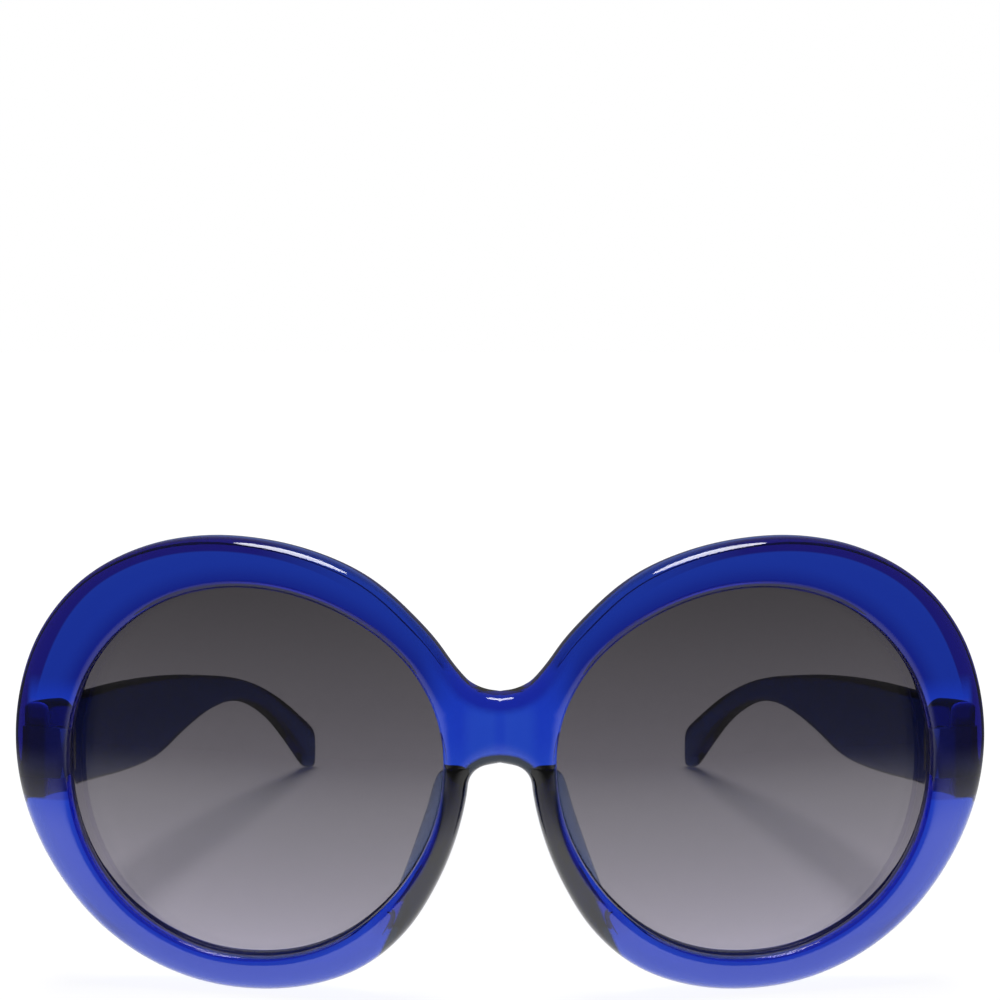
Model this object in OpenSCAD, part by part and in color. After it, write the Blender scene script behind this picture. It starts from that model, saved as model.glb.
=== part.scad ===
// Oversized round sunglasses. A thick wrapped plastic front holds two curved
// lenses, and two wide temples fold on three-barrel hinges with small screws.
// The front faces -Y, the temples run to +Y, and +X is the wearer's left.
// The glasses stand open on z = 0, on the bottoms of the rims and on the
// temple tips, with the origin below the middle of the whole object.

/* [Lenses] */
// Width of a lens opening
lens_w = 60; // [56:0.5:63]
// Height of a lens opening
lens_h = 58.4; // [55:0.2:61]
// Thickness of a lens
lens_t = 1.8; // [1.5:0.1:2]
// Radius of the curve of a lens
lens_r = 140; // [125:5:170]
// Depth of a lens's middle behind the face of the front
lens_set = 2; // [1.9:0.1:2.2]
// Depth of the groove that holds a lens's edge
groove_d = 1; // [0.6:0.1:1.2]
// Clearance of a lens in its groove
lens_clear = 0.12; // [0.08:0.01:0.15]

/* [Front] */
// Gap between the two lens openings, across the nose
bridge_w = 17.8; // [17:0.2:20]
// Height of the bridge at its middle
bridge_h = 11.3; // [10:0.1:13]
// Height of the bridge's underside above the bottom of the rims
bridge_z = 37.4; // [35:0.2:38]
// Width of a rim at its widest place, above the temple
rim_w = 10.4; // [10.2:0.2:12]
// Depth of the front from its face to its back
front_t = 6.2; // [6:0.1:7]
// Radius of the front's wrap, seen from above
wrap_r = 255; // [220:5:300]
// Radius of the front's curve, seen from the side
face_r = 143; // [130:1:170]
// Rounding of the outer edge of the front's face
edge_r = 2.5; // [1.5:0.1:2.6]
// Rounding of the front's face beside a lens
lip_r = 1.1; // [0.6:0.1:1.2]
// Rise of the rounded face above its edges
crown_d = 0.5; // [0.2:0.1:0.5]
// Rounding of the edges of the front's back
back_r = 0.7; // [0.4:0.1:0.7]
// Radius of the saddle on top of the bridge
saddle_r = 8.3; // [7:0.1:9]

/* [Nose pads] */
// How far a moulded nose pad reaches behind the front
pad_reach = 7.5; // [6.5:0.5:9]
// How far a nose pad spreads outward at its rear edge
pad_flare = 3.4; // [2.6:0.2:5]
// Thickness of a nose pad
pad_t = 1.8; // [1.5:0.1:1.9]
// Height of a nose pad along the rim
pad_h = 24; // [18:1:26]
// Distance of the pad's top end below the underside of the bridge
pad_top_gap = 1.4; // [1:0.1:3]

/* [Temples] */
// Length of a temple from its front end to its tip, measured level
temple_len = 123; // [110:1:135]
// Height of a temple's top edge above the table at the hinge
temple_z = 44.2; // [42:0.2:46]
// Thickness of a temple at the hinge
temple_t = 3.8; // [3.4:0.1:4.2]
// Thickness of a temple at its tip
tip_t = 3.4; // [3:0.1:4]
// How far a temple's tip stands inward of its front end
tip_inset = 29.5; // [20:0.5:32]
// Inset of a temple's outer face from the side of the rim
temple_inset = 1.8; // [1.2:0.1:2.4]
// Rounding of the long edges of a temple
temple_edge_r = 1.3; // [0.8:0.1:1.5]
// Rounding of the corners of a temple's tip
tip_r = 3; // [2:0.2:3.6]
// Gap between a temple's front end and the back of the rim
temple_gap = 0.15; // [0.1:0.05:0.3]

/* [Hinges] */
// Outer radius of a hinge barrel
barrel_r = 1.6; // [1.4:0.1:1.8]
// Height of the temple's barrel, in the middle of a hinge
temple_barrel_h = 2.8; // [2.4:0.1:3.2]
// Height of each of the front's two barrels
front_barrel_h = 2.2; // [2:0.1:2.6]
// Gap between two barrels
barrel_gap = 0.1; // [0.06:0.01:0.15]
// Distance of a barrel from the plastic beside it
barrel_clear = 0.3; // [0.3:0.05:0.5]
// Thickness of the metal leaves sunk in the plastic
leaf_t = 1.4; // [1:0.1:1.5]
// Height of a leaf in the temple
leaf_h = 5.2; // [4.4:0.1:6]
// Length of a leaf in the temple
leaf_len = 7.4; // [6:0.2:9]
// Length of a leaf in the front
front_leaf_len = 6; // [5:0.2:6.2]
// Height of a leaf in the front
front_leaf_h = 8; // [7.6:0.1:9]
// Clearance of a leaf in its pocket
leaf_clear = 0.05; // [0.02:0.01:0.08]
// Radius of a hinge screw's shank
screw_r = 0.75; // [0.6:0.05:0.9]
// Radius of a hinge screw's head
screw_head_r = 1.2; // [1.1:0.05:1.3]
// Height of a hinge screw's head
screw_head_h = 0.6; // [0.4:0.05:0.8]
// Running clearance between a screw and its bores
screw_clear = 0.05; // [0.03:0.01:0.08]

/* [Hidden] */

frame_blue = [0.07, 0.13, 0.75];
lens_grey = [0.3, 0.3, 0.32];
hinge_steel = [0.72, 0.72, 0.75];

// Radius of a lens opening over an ellipse of its width and height, every
// angle_step degrees from the nose side over the top
angle_step = 15;
opening_shares = [
    1, 1.02, 1.025, 1.008, 0.99, 0.988, 1, 1.02, 1.04, 1.048, 1.045, 1.028,
    1.01, 1.01, 1.012, 1.015, 1.013, 1.01, 1, 0.995, 0.985, 0.972, 0.97, 0.982
];
// Width of a rim over its widest place, at the same angles
rim_shares = [
    0.39, 0.45, 0.53, 0.55, 0.64, 0.67, 0.71, 0.8, 0.88, 0.97, 1, 0.99,
    0.91, 0.78, 0.675, 0.62, 0.59, 0.565, 0.56, 0.56, 0.56, 0.495, 0.405, 0.37
];
bottom_angle = 270;
top_angle = 90;
outer_angle = 180;

// Where the free rim starts over the bridge and ends under it
rim_from = 30;
rim_to = 357;
rim_steps = 82;
saddle_to = 40;
saddle_steps = 3;
// The bridge's sides curve down like an arch, squared by this share
arch_share = 0.8;
arch_steps = 4;
bridge_height_shares = [0, 0.02, 0.06, 0.12, 0.22, 0.4, 0.6, 0.78, 0.88, 0.94, 0.98, 1];
face_rows = 8;
// Rows over the rounded edges of the back, over their radius
back_edge_shares = [0, 0.3, 1];

// Places along a temple, from its front end to its tip, with the heights of
// its top and bottom edges there over the height at the hinge
along_shares = [0, 0.15, 0.3, 0.42, 0.52, 0.62, 0.71, 0.79, 0.88, 1];
top_shares = [1, 0.942, 0.895, 0.85, 0.803, 0.745, 0.685, 0.607, 0.477, 0.245];
bottom_shares = [0.652, 0.585, 0.518, 0.495, 0.543, 0.58, 0.569, 0.497, 0.335, 0];
// Share of a temple's inward reach that comes from its bow
bow_share = 0.77;
temple_steps = 44;
tip_steps = 6;
corner_steps = 4;

// How much of its reach a nose pad has, from its top end to its bottom end
pad_shares = [0, 0.85, 1, 1, 1, 0.97, 0.88, 0.72, 0.45, 0];
// Place of the pad's middle in the width of the rim, from the lens outward, at
// its top and bottom ends
pad_top_share = 0.56;
pad_bottom_share = 0.66;
// Widest rim that the pad's place goes by, over the widest place of the rim
pad_rim_share = 0.42;
// Flat left between the pad and the rounded edges of the back
pad_margin = 0.03;
// One section of the pad: places over its half thickness and heights over its
// reach
pad_width_shares = [-1, -0.85, -0.4, 0.4, 0.85, 1];
pad_height_shares = [0, 0.84, 1, 1, 0.84, 0];

// Share of a leaf's length and height that its lower rear step takes
leaf_step_share = 0.3;
// Share of the front leaf that lies inward of the hinge's axis
leaf_inner_share = 0.16;
// Depth of the front leaf's face below the back of the rim
leaf_sink = 0.1;
// Width and depth of a screw's slot, over its head's radius and height
slot_w_share = 0.3;
slot_depth_share = 0.55;
// Distance that a cut runs past what it cuts
overrun = 1;
tiny = 1e-9;
round_fn = 64;
lens_fn = 200;
// Angle between two points of a lens's outline
lens_step = 2;

// Value of a curve through evenly spaced shares, at place t of the list
function knot(list, i) = list[(i + 2 * len(list)) % len(list)];
function smooth4(a, b, c, d, t) =
    b + t / 2 * (c - a + t * (2 * a - 5 * b + 4 * c - d + t * (3 * (b - c) + d - a)));
function ring_share(list, angle) =
    let (t = angle / angle_step, i = floor(t))
    smooth4(knot(list, i - 1), knot(list, i), knot(list, i + 1), knot(list, i + 2), t - i);

// Smooth curve through unevenly spaced points
function slope(xs, ys, i) =
    let (a = max(i - 1, 0), b = min(i + 1, len(xs) - 1))
    (ys[b] - ys[a]) / (xs[b] - xs[a]);
function find_span(xs, t, i = 0) = i >= len(xs) - 2 || t < xs[i + 1] ? i : find_span(xs, t, i + 1);
function curve(xs, ys, t) =
    let (
        i = find_span(xs, t),
        h = xs[i + 1] - xs[i],
        u = (t - xs[i]) / h,
        v = 1 - u
    )
    ys[i] * v * v * (1 + 2 * u) + ys[i + 1] * u * u * (3 - 2 * u)
    + h * u * v * (v * slope(xs, ys, i) - u * slope(xs, ys, i + 1));

function open_r(angle) =
    ring_share(opening_shares, angle)
    / norm([cos(angle) / (lens_w / 2), sin(angle) / (lens_h / 2)]);
function rim_width(angle) = rim_w * ring_share(rim_shares, angle);
function outer_r(angle) = open_r(angle) + rim_width(angle);

lens_x = bridge_w / 2 + lens_w / 2;
lens_z = outer_r(bottom_angle);
bridge_top = bridge_z + bridge_h;

// Point of the front at an angle and distance from the middle of a lens
function polar(angle, r) = [lens_x - r * cos(angle), lens_z + r * sin(angle)];

// Outline of one half of the front as [x, z], once round: over the rim, under
// the bridge's arch, up the middle of the bridge and out along its saddle
arch_end = polar(rim_to, outer_r(rim_to));
rim_line = [
    for (i = [0 : rim_steps])
        let (a = rim_from + i * (rim_to - rim_from) / rim_steps)
        polar(a, outer_r(a))
];
arch_line = [
    for (i = [arch_steps - 1 : -1 : 1])
        let (a = i * 90 / arch_steps)
        [
            arch_end.x * pow(sin(a), arch_share),
            arch_end.y + (bridge_z - arch_end.y) * pow(cos(a), arch_share)
        ]
];
middle_line = [for (s = bridge_height_shares) [0, bridge_z + bridge_h * s]];
saddle_line = [
    for (i = [1 : saddle_steps])
        let (a = i * saddle_to / saddle_steps)
        [saddle_r * sin(a), bridge_top + saddle_r * (1 - cos(a))]
];
outline = concat(rim_line, arch_line, middle_line, saddle_line);
edge_count = len(rim_line) + len(arch_line) + 1;
edge_line = concat(
    [for (i = [0 : edge_count - 1]) outline[i]],
    [[0, bridge_top]],
    saddle_line,
    [outline[0]]
);

// Distance of a point from the free edge of the front
function to_segment(p, a, b) =
    let (d = b - a, t = max(0, min(1, (p - a) * d / max(d * d, tiny))))
    norm(p - a - t * d);
function edge_distance(p) = min([
    for (i = [0 : len(edge_line) - 2])
        if (i != edge_count - 1) to_segment(p, edge_line[i], edge_line[i + 1])
]);

// Drop of a rounded edge of radius r, at distance t inside it
function rounding(t, r) = t >= r ? 0 : r - sqrt(max(0, r * r - (r - t) * (r - t)));

// Depth of the front's unrounded face, wrapped round the head
face_z = (outer_r(bottom_angle) + outer_r(top_angle)) / 2;
function face_y(x, z) =
    wrap_r - sqrt(wrap_r * wrap_r - x * x) + (z - face_z) * (z - face_z) / (2 * face_r);
function back_y(x, z) = face_y(x, z) + front_t;

// Middle of the sphere that a lens is cut from
lens_turn = asin(lens_x / wrap_r);
lens_ball = [
    lens_x - (lens_r + lens_set) * sin(lens_turn),
    face_y(lens_x, lens_z) + (lens_r + lens_set) * cos(lens_turn),
    lens_z
];
function lens_y(x, z, r) =
    lens_ball.y - sqrt(r * r - (x - lens_ball.x) * (x - lens_ball.x)
        - (z - lens_ball.z) * (z - lens_ball.z));
lens_mid_r = lens_r - lens_t / 2;
groove_half = lens_t / 2 + lens_clear;

// Reach of the nose pad at a height, and the place of its middle in the rim
pad_top = bridge_z - pad_top_gap;
pad_knots = [for (i = [0 : len(pad_shares) - 1]) i / (len(pad_shares) - 1)];
function pad_place(z) = max(0, min(1, (pad_top - z) / pad_h));
function pad_out(z) = pad_reach * max(0, curve(pad_knots, pad_shares, pad_place(z)));
pad_half = pad_t / 2 / cos(atan(pad_flare / pad_reach));
pad_edge = back_r + pad_half + pad_margin;
function pad_middle(width, z) =
    let (share = pad_top_share + (pad_bottom_share - pad_top_share) * pad_place(z))
    max(pad_edge, min(width - pad_edge, share * min(width, rim_w * pad_rim_share)));

// One section of the front, as a closed loop from the outer edge over the
// face, down the wall with the lens groove, and back along the rear
function angle_of(p) = atan2(p.y - lens_z, lens_x - p.x);
function even(i, n) = (1 - cos(180 * i / n)) / 2;
function mix_to(a, b, t) = a + (b - a) * t;
function back_point(q, t, s) =
    [q.x, back_y(q.x, q.y) - rounding(t, back_r) - rounding(s, back_r), q.y];
function section(p) =
    let (
        angle = angle_of(p),
        inner = open_r(angle < 0 ? angle + 360 : angle),
        lip = polar(angle, inner),
        seat = polar(angle, inner + groove_d),
        lip_y = lens_y(lip.x, lip.y, lens_mid_r),
        seat_y = lens_y(seat.x, seat.y, lens_mid_r),
        width = norm(p - lip),
        middle = pad_middle(width, lip.y),
        out = lip.x < lens_x ? pad_out(lip.y) : 0
    )
    concat(
        [for (i = [0 : face_rows])
            let (q = mix_to(p, lip, even(i, face_rows)), t = edge_distance(q), s = norm(q - lip))
            [q.x, face_y(q.x, q.y) + crown(t, s) + rounding(t, edge_r) + rounding(s, lip_r), q.y]],
        [
            [lip.x, lip_y - groove_half, lip.y],
            [seat.x, seat_y - groove_half, seat.y],
            [seat.x, seat_y + groove_half, seat.y],
            [lip.x, lip_y + groove_half, lip.y]
        ],
        [for (k = back_edge_shares)
            let (q = mix_to(lip, p, k * back_r / width))
            back_point(q, edge_distance(q), norm(q - lip))],
        [for (i = [0 : len(pad_width_shares) - 1])
            let (
                rise = out * pad_height_shares[i],
                q = mix_to(lip, p, (middle + pad_half * pad_width_shares[i]) / width),
                r = mix_to(lip, p, (middle + pad_half * pad_width_shares[i]
                    - rise * pad_flare / pad_reach) / width)
            )
            [r.x, back_y(q.x, q.y) + rise, r.y]],
        [for (i = [len(back_edge_shares) - 1 : -1 : 0])
            let (q = mix_to(p, lip, back_edge_shares[i] * back_r / width))
            back_point(q, edge_distance(q), norm(q - lip))]
    );
function crown(t, s) = let (u = t + s) u <= 0 ? crown_d : crown_d * (1 - 4 * t * s / (u * u));

// Triangles that join closed sections into a tube, and the tube to itself
// when it is a ring
function tube_faces(n, m, ring) = [
    for (i = [0 : n - (ring ? 1 : 2)])
        for (j = [0 : m - 1])
            let (
                a = i * m + j,
                b = i * m + (j + 1) % m,
                c = ((i + 1) % n) * m + (j + 1) % m,
                d = ((i + 1) % n) * m + j
            )
            each [[a, c, b], [a, d, c]]
];

front_sections = [for (p = outline) section(p)];
front_points = [for (s = front_sections) each s];
front_ring = len(front_sections[0]);
// The halves share their points in the middle plane, where no wall parts them
function across(k) = front_points[k].x == 0 ? k : k + len(front_points);
half_faces = [
    for (f = tube_faces(len(front_sections), front_ring, true))
        if (max([for (k = f) front_points[k].x]) > 0) f
];
front_near = min([for (p = front_points) p.y]);
floor_z = min([for (p = front_points) p.z]);

// Where a temple starts, and its line seen from above
temple_x = lens_x + outer_r(outer_angle) - temple_inset - temple_t / 2;
temple_end = back_y(temple_x, lens_z) + temple_gap + temple_len;
function temple_centre(s) = temple_x - tip_inset * ((1 - bow_share) * s + bow_share * s * s);
function temple_front(x, z) = back_y(x, z) + temple_gap;
toe_angle = atan((1 - bow_share) * tip_inset / temple_len);

// Rounding of the tip's corners at distance d before its end
function tip_rounding(s, r) = rounding((1 - s) * temple_len, r);
function temple_top(s) = temple_z * curve(along_shares, top_shares, s) - tip_rounding(s, tip_r);
function temple_low(s) = temple_z * curve(along_shares, bottom_shares, s) + tip_rounding(s, tip_r);
function temple_half(s) =
    (temple_t + (tip_t - temple_t) * s) / 2 - tip_rounding(s, temple_edge_r);

tip_share = tip_r / temple_len;
temple_places = concat(
    [for (i = [0 : temple_steps - 1]) i * (1 - tip_share) / temple_steps],
    [for (i = [0 : tip_steps]) 1 - tip_share + tip_share * sin(90 * i / tip_steps)]
);
// The tip is lowered until it stands on the same table as the rims
tip_low = min([for (s = temple_places) temple_low(s)]);
function temple_drop(s) = (tip_low - floor_z) * s * s;

// One section of a temple, a rectangle with rounded corners
function temple_section(s) =
    let (
        half_w = temple_half(s),
        top = temple_top(s) - temple_drop(s),
        low = temple_low(s) - temple_drop(s),
        half_h = (top - low) / 2,
        r = min(temple_edge_r, half_w, half_h),
        x = temple_centre(s),
        z = (top + low) / 2
    )
    [
        for (k = [0 : 3])
            for (i = [0 : corner_steps - 1])
                let (
                    a = -90 * (k + i / (corner_steps - 1)),
                    sx = k == 0 || k == 3 ? 1 : -1,
                    sz = k < 2 ? -1 : 1,
                    px = x + sx * (half_w - r) + r * cos(a),
                    pz = z + sz * (half_h - r) + r * sin(a),
                    near = temple_front(px, pz)
                )
                [px, near + s * (temple_end - near), pz]
    ];
temple_sections = [for (s = temple_places) temple_section(s)];
temple_ring = len(temple_sections[0]);

// Hinge axis, beside the temple's inner face and behind the rim
hinge_z = temple_z * (top_shares[0] + bottom_shares[0]) / 2;
hinge_x = temple_x - temple_t / 2 - barrel_clear - barrel_r;
hinge_y = back_y(hinge_x, hinge_z) + barrel_clear + barrel_r;
hinge_turn = asin(hinge_x / wrap_r);
rim_gap = (barrel_clear + barrel_r) * cos(hinge_turn);
side_gap = (barrel_clear + barrel_r) * cos(toe_angle);
front_barrel_z = temple_barrel_h / 2 + barrel_gap;
barrel_top = front_barrel_z + front_barrel_h;

// Moves a piece from the front's own place to where the glasses stand
module placed() {
    translate([0, -(front_near + temple_end) / 2, -floor_z]) children();
}

// The wearer's left side is +X, and the right side is its mirror image
module on_left() {
    placed() children();
}
module on_right() {
    placed() mirror([1, 0, 0]) children();
}
module at_hinge(turn) {
    translate([hinge_x, hinge_y, hinge_z]) rotate([0, 0, turn]) children();
}

// The rims, bridge and nose pads in one skin, the left half and its mirror image
module front_body() {
    polyhedron(
        points = concat(front_points, [for (p = front_points) [-p.x, p.y, p.z]]),
        faces = concat(half_faces, [for (f = half_faces) [for (k = [2, 1, 0]) across(f[k])]])
    );
}

module front_leaf_box(clear) {
    inner = front_leaf_len * leaf_inner_share;
    translate([
        -inner - clear,
        -rim_gap - leaf_sink - leaf_t - clear,
        -front_leaf_h / 2 - clear
    ])
        cube([
            front_leaf_len + 2 * clear,
            leaf_t + (clear > 0 ? leaf_sink + overrun : 0) + clear,
            front_leaf_h + 2 * clear
        ]);
}

module front_frame() {
    color(frame_blue) placed() difference() {
        front_body();
        at_hinge(hinge_turn) front_leaf_box(leaf_clear);
        mirror([1, 0, 0]) at_hinge(hinge_turn) front_leaf_box(leaf_clear);
    }
}

// A lens is a piece of a hollow ball, cut along the outline of its opening
// and reaching into the groove round it
module lens() {
    reach = groove_d - lens_clear;
    deep = back_y(lens_x + lens_w / 2 + groove_d, lens_z) + front_t;
    color(lens_grey, 0.8) intersection() {
        translate(lens_ball) difference() {
            sphere(r = lens_r, $fn = lens_fn);
            sphere(r = lens_r - lens_t, $fn = lens_fn);
        }
        translate([0, deep, 0]) rotate([90, 0, 0])
            linear_extrude(height = deep + overrun)
                polygon([for (i = [0 : lens_step : 360 - lens_step]) polar(i, open_r(i) + reach)]);
    }
}

module barrel(z, h) {
    translate([0, 0, z]) cylinder(r = barrel_r, h = h, $fn = round_fn);
}

module screw_bore() {
    bore_r = screw_r + screw_clear;
    head_r = screw_head_r + screw_clear;
    translate([0, 0, -barrel_top - overrun])
        cylinder(r = bore_r, h = 2 * (barrel_top + overrun), $fn = round_fn);
    translate([0, 0, barrel_top - screw_head_h - screw_clear])
        cylinder(r = head_r, h = screw_head_h + overrun, $fn = round_fn);
}

// The front's hinge half: two barrels on arms that rise from a sunk leaf
module front_hinge() {
    inner = front_leaf_len * leaf_inner_share;
    color(hinge_steel) at_hinge(hinge_turn) difference() {
        union() {
            front_leaf_box(0);
            for (z = [front_barrel_z, -barrel_top]) {
                barrel(z, front_barrel_h);
                translate([-inner, -rim_gap - leaf_sink - leaf_t / 2, z])
                    cube([2 * inner, rim_gap + leaf_sink + leaf_t / 2, front_barrel_h]);
            }
        }
        screw_bore();
    }
}

module temple_leaf_box(clear) {
    step_l = leaf_len * leaf_step_share;
    step_h = leaf_h * leaf_step_share;
    inner = clear > 0 ? overrun : 0;
    difference() {
        translate([side_gap - inner, -clear, -leaf_h / 2 - clear])
            cube([leaf_t + inner + clear, leaf_len + 2 * clear, leaf_h + 2 * clear]);
        translate([side_gap - 2 * overrun, leaf_len - step_l + clear, -leaf_h / 2 - overrun])
            cube([leaf_t + 3 * overrun, step_l + overrun, step_h + overrun - clear]);
    }
}

// The temple's hinge half: one barrel on an arm that ends in a sunk leaf
module temple_hinge() {
    color(hinge_steel) at_hinge(toe_angle) difference() {
        union() {
            temple_leaf_box(0);
            barrel(-temple_barrel_h / 2, temple_barrel_h);
            translate([0, 0, -temple_barrel_h / 2])
                cube([side_gap + leaf_t / 2, barrel_r, temple_barrel_h]);
        }
        screw_bore();
    }
}

module hinge_screw() {
    color(hinge_steel) at_hinge(0) difference() {
        union() {
            translate([0, 0, -barrel_top]) cylinder(r = screw_r, h = 2 * barrel_top, $fn = round_fn);
            translate([0, 0, barrel_top - screw_head_h])
                cylinder(r = screw_head_r, h = screw_head_h, $fn = round_fn);
        }
        translate([
            -screw_head_r - overrun,
            -screw_head_r * slot_w_share / 2,
            barrel_top - screw_head_h * slot_depth_share
        ])
            cube([
                2 * (screw_head_r + overrun),
                screw_head_r * slot_w_share,
                screw_head_h * slot_depth_share + overrun
            ]);
    }
}

module temple() {
    n = len(temple_sections);
    m = temple_ring;
    color(frame_blue) difference() {
        polyhedron(
            points = [for (s = temple_sections) each s],
            faces = concat(
                tube_faces(n, m, false),
                [[for (j = [0 : m - 1]) j]],
                [[for (j = [m - 1 : -1 : 0]) (n - 1) * m + j]]
            )
        );
        at_hinge(toe_angle) temple_leaf_box(leaf_clear);
    }
}

front_frame();
on_left() lens();  // lens_left
on_right() lens();  // lens_right
on_left() front_hinge();  // front_hinge_left
on_right() front_hinge();  // front_hinge_right
on_left() hinge_screw();  // hinge_screw_left
on_right() hinge_screw();  // hinge_screw_right
on_left() temple();  // temple_left
on_right() temple();  // temple_right
on_left() temple_hinge();  // temple_hinge_left
on_right() temple_hinge();  // temple_hinge_right
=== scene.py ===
"""Oversized round sunglasses in clear blue plastic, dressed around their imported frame.

The front with its nose pads, the two lenses and the two temples are modelled here as smooth
pieces that stand for the plain solids. The steel hinges and screws are the solids themselves
with finished materials.
"""

import math

import bmesh
import bpy
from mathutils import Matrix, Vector


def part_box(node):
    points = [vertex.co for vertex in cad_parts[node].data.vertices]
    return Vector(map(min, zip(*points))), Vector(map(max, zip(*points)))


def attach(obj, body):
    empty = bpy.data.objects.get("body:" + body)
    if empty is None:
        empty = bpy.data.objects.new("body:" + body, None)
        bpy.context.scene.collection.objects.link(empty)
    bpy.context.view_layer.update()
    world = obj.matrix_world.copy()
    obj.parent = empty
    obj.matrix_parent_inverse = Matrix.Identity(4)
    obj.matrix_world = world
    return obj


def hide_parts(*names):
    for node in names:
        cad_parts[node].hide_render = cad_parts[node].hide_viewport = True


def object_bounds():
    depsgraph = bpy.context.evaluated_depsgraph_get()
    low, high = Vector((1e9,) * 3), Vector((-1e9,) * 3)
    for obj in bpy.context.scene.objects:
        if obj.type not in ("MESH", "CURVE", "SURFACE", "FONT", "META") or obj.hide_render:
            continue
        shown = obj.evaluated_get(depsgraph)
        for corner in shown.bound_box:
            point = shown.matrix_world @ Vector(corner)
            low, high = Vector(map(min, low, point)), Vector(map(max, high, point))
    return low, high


bl_info = {
    "name": "Oversized Round Sunglasses",
    "version": (1, 0, 0),
    "blender": (4, 5, 0),
    "location": "3D View > Sidebar > Eyewear",
    "description": "Round sunglasses with clear moulded rims, gradient lenses and folding temples",
    "category": "Add Mesh",
}

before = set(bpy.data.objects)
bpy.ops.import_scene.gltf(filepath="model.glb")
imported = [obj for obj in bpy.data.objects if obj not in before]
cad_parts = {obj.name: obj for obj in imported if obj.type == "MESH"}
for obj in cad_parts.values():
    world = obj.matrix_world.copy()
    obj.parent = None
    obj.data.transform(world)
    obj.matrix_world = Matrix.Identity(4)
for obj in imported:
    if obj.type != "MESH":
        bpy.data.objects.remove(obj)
CAD_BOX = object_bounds()
FRONT_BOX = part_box("front_frame")

SIDES = {"left": 1, "right": -1}

# Radius of a lens opening over an ellipse of its width and height, every ANGLE_STEP degrees
# from the nose side over the top, and the rim's width over its widest place there
ANGLE_STEP = 15
OPENING_SHARES = (
    1, 1.02, 1.025, 1.008, 0.99, 0.988, 1, 1.02, 1.04, 1.048, 1.045, 1.028,
    1.01, 1.01, 1.012, 1.015, 1.013, 1.01, 1, 0.995, 0.985, 0.972, 0.97, 0.982,
)
RIM_SHARES = (
    0.39, 0.45, 0.53, 0.55, 0.64, 0.67, 0.71, 0.795, 0.905, 1.02, 1.04, 0.985,
    0.91, 0.78, 0.675, 0.62, 0.59, 0.565, 0.56, 0.565, 0.575, 0.525, 0.43, 0.38,
)
# The outline: the angles that a rim takes up, the saddle on the bridge and the arch below it
RIM_FROM = 30
RIM_TO = 357
RIM_STEPS = 66
SADDLE_TO = 40
SADDLE_STEPS = 5
ARCH_SHARE = 0.8
ARCH_STEPS = 7
BRIDGE_SHARES = (0, 0.04, 0.14, 0.3, 0.5, 0.7, 0.86, 0.96, 1)

# A section of the rim: rows over its face, points of its groove and of each rounded back edge
FACE_ROWS = 8
GROOVE_POINTS = 4
BACK_EDGE_SHARES = (0, 0.35, 1)

# A nose pad: how much of its reach it has from its top end down, where its middle lies in the
# rim's width at both ends, and the points of its own section
PAD_SHARES = (0, 0.85, 1, 1, 1, 0.97, 0.86, 0.64, 0.32, 0)
PAD_TOP_SHARE = 0.56
PAD_BOTTOM_SHARE = 0.66
PAD_RIM_SHARE = 0.42
PAD_WIDTHS = (-1, -0.85, -0.4, 0.4, 0.85, 1)
PAD_HEIGHTS = (0, 0.84, 1, 1, 0.84, 0)

# A temple's places from its front end to its tip, and its edges' heights there
ALONG_SHARES = (0, 0.15, 0.3, 0.42, 0.52, 0.62, 0.71, 0.79, 0.88, 1)
TOP_SHARES = (1, 0.942, 0.895, 0.85, 0.803, 0.745, 0.685, 0.607, 0.477, 0.245)
BOTTOM_SHARES = (0.652, 0.585, 0.518, 0.495, 0.543, 0.58, 0.569, 0.497, 0.335, 0)
BOW_SHARE = 0.77
TEMPLE_STEPS = 34
TIP_STEPS = 4
CORNER_TURNS = (0, 30, 60, 90)
SAWN_RING = 0.0002

LENS_POINTS = 144
LENS_RINGS = (0.12, 0.24, 0.36, 0.48, 0.6, 0.72, 0.84, 0.93, 0.985, 1)
SMOOTH_LEVELS = 2

# Lengths that count as none: a line's, squared, and those between points that are one, in the
# middle plane and on both sides of it
LINE_LEAST = 1e-18
SAME_POINT = 1e-7
ON_MIDDLE = 1e-8
ACROSS_MIDDLE = 1e-6

FRONT_PLASTIC = "Clear Blue Front Plastic"
TEMPLE_PLASTIC = "Clear Blue Temple Plastic"
PLASTIC_TINT = (0.93, 0.94, 1.0)
FRONT_SHADE = (0.9, 0.9, 0.95)
PLASTIC_IOR = 1.49
LENS_IOR = 1.5
# How dark the steel's grain gets, where hairlines begin in their noise, and how much smudges add
GRAIN_SHADE = 0.72
HAIR_CUT = (0.68, 0.74)
SMUDGE_SHARE = 0.6

# Distances kept in the front's own attribute are over this length
PLACE_UNIT = 0.012
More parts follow.
